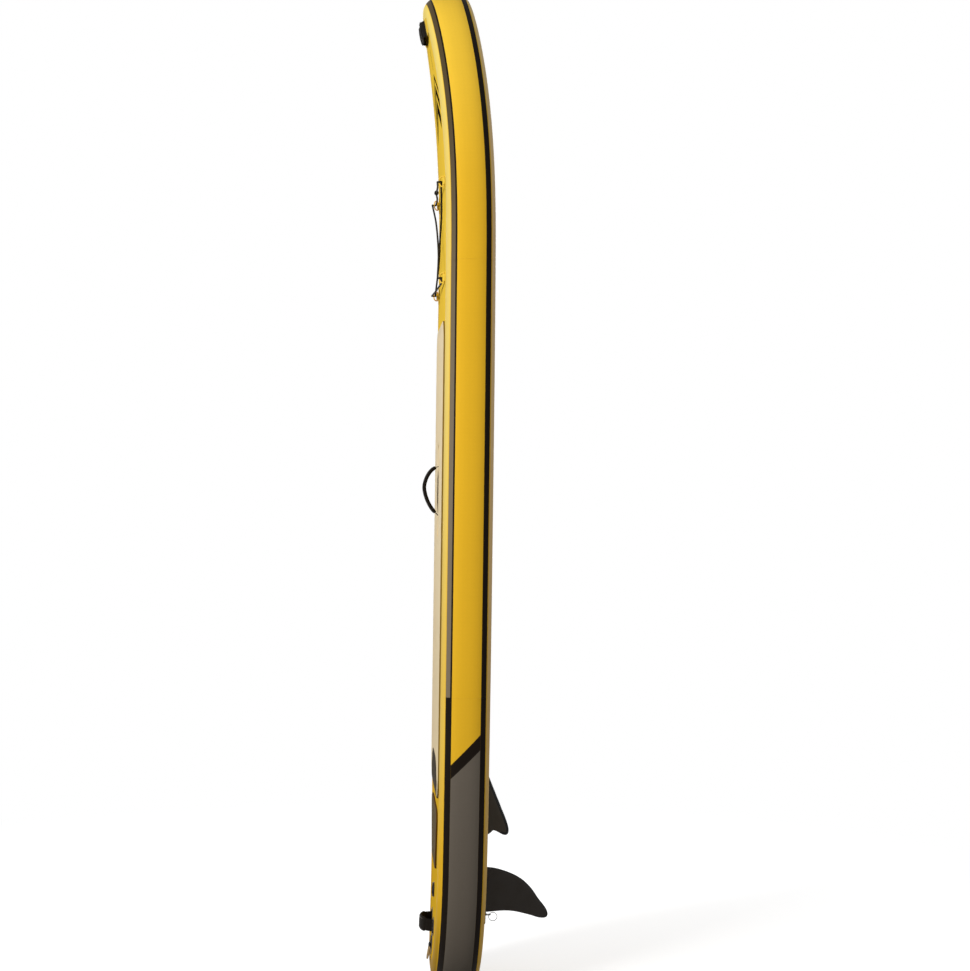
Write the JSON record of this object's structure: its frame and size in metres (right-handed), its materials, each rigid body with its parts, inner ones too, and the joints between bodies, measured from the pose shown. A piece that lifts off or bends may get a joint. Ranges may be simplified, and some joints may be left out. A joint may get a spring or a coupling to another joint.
{
  "type": "inflatable stand-up paddle board",
  "caption": "Inflatable stand-up paddle board with foam deck pads, webbing handles, a crossed cargo cord, an inflation valve, a leash ring and a removable locked centre fin between side fins.",
  "frame": {"origin": "middle of the flat tail end that the board stands on when it is upright", "axes": "+Z from tail to nose, deck faces -Y, bottom and fins face +Y, X across the board"},
  "size_m": [0.813, 0.4565, 3.1933],
  "materials": {
    "yellow_pvc": "satin coated fabric",
    "grey_pvc": "satin coated fabric",
    "black_pvc": "satin coated fabric",
    "core_cloth": "woven polyester",
    "sand_foam": "matt grooved foam",
    "dark_foam": "matt grooved foam",
    "webbing": "woven webbing",
    "handle_grip": "soft padded sleeve",
    "ring_steel": "polished stainless steel",
    "cargo_cord": "braided elastic cord",
    "black_plastic": "fine matt moulding",
    "seal_rubber": "matt"
  },
  "bodies": {
    "root": {"rail_band_nose": "yellow_pvc", "rail_band_left": "yellow_pvc", "rail_band_right": "yellow_pvc", "rail_band_tail": "grey_pvc", "deck_skin": "yellow_pvc", "bottom_skin": "yellow_pvc", "drop_stitch_core": "core_cloth", "deck_pad": "sand_foam", "tail_pad": "dark_foam", "carry_handle_strap": "webbing", "carry_handle_grip": "handle_grip", "carry_handle_patch_front": "grey_pvc", "carry_handle_patch_rear": "grey_pvc", "nose_handle_strap": "webbing", "nose_handle_grip": "handle_grip", "nose_handle_patch_left": "grey_pvc", "nose_handle_patch_right": "grey_pvc", "tail_handle_strap": "webbing", "tail_handle_grip": "handle_grip", "tail_handle_patch_left": "grey_pvc", "tail_handle_patch_right": "grey_pvc", "leash_patch": "grey_pvc", "leash_webbing": "webbing", "anchor_patch_front_right": "yellow_pvc", "anchor_patch_front_left": "yellow_pvc", "anchor_patch_rear_right": "yellow_pvc", "anchor_patch_rear_left": "yellow_pvc", "anchor_webbing_front_right": "yellow_pvc", "anchor_webbing_front_left": "yellow_pvc", "anchor_webbing_rear_right": "yellow_pvc", "anchor_webbing_rear_left": "yellow_pvc", "anchor_ring_front_right": "ring_steel", "anchor_ring_front_left": "ring_steel", "anchor_ring_rear_right": "ring_steel", "anchor_ring_rear_left": "ring_steel", "bungee_cord": "cargo_cord", "bungee_knot": "cargo_cord", "valve_body": "black_plastic", "valve_backing_nut": "black_plastic", "valve_spring": "ring_steel", "fin_box_patch": "black_pvc", "fin_box": "black_plastic", "centre_fin": "black_plastic", "side_fin_patch_left": "black_pvc", "side_fin_patch_right": "black_pvc", "side_fin_left": "black_plastic", "side_fin_right": "black_plastic"},
    "cap": {"valve_cap": "black_plastic", "valve_cap_seal": "seal_rubber"},
    "stem": {"valve_stem": "black_plastic", "valve_gasket": "seal_rubber"},
    "lock_clip": {"fin_lock_clip": "black_plastic"},
    "pull_ring": {"clip_ring": "ring_steel"},
    "leash_ring": {"leash_d_ring": "ring_steel"}
  },
  "joints": [
    {"name": "valve_cap_turn", "type": "hinge", "parent": "root", "child": "cap", "pos_m": [0, -0.07065, 0.29318], "axis": [0, -0.9998, 0.0199], "range_deg": [0, 90]},
    {"name": "valve_stem_press", "type": "slide", "parent": "root", "child": "stem", "axis": [0, 0.9998, -0.0199], "range_m": [0, 0.005], "stiffness_N_per_m": 400, "springref_m": -0.004, "deforming": ["valve_spring"]},
    {"name": "lock_clip_pull", "type": "slide", "parent": "root", "child": "lock_clip", "axis": [0, 0.9998, -0.0223], "range_m": [0, 0.014]},
    {"name": "pull_ring_swing", "type": "hinge", "parent": "lock_clip", "child": "pull_ring", "pos_m": [0, 0.109, 0.21203], "axis": [0, 0.0223, 0.9998], "range_deg": [-60, 60]},
    {"name": "leash_ring_swing", "type": "hinge", "parent": "root", "child": "leash_ring", "pos_m": [0, -0.08272, 0.11178], "axis": [-1, 0, 0], "range_deg": [-3, 160]}
  ]
}
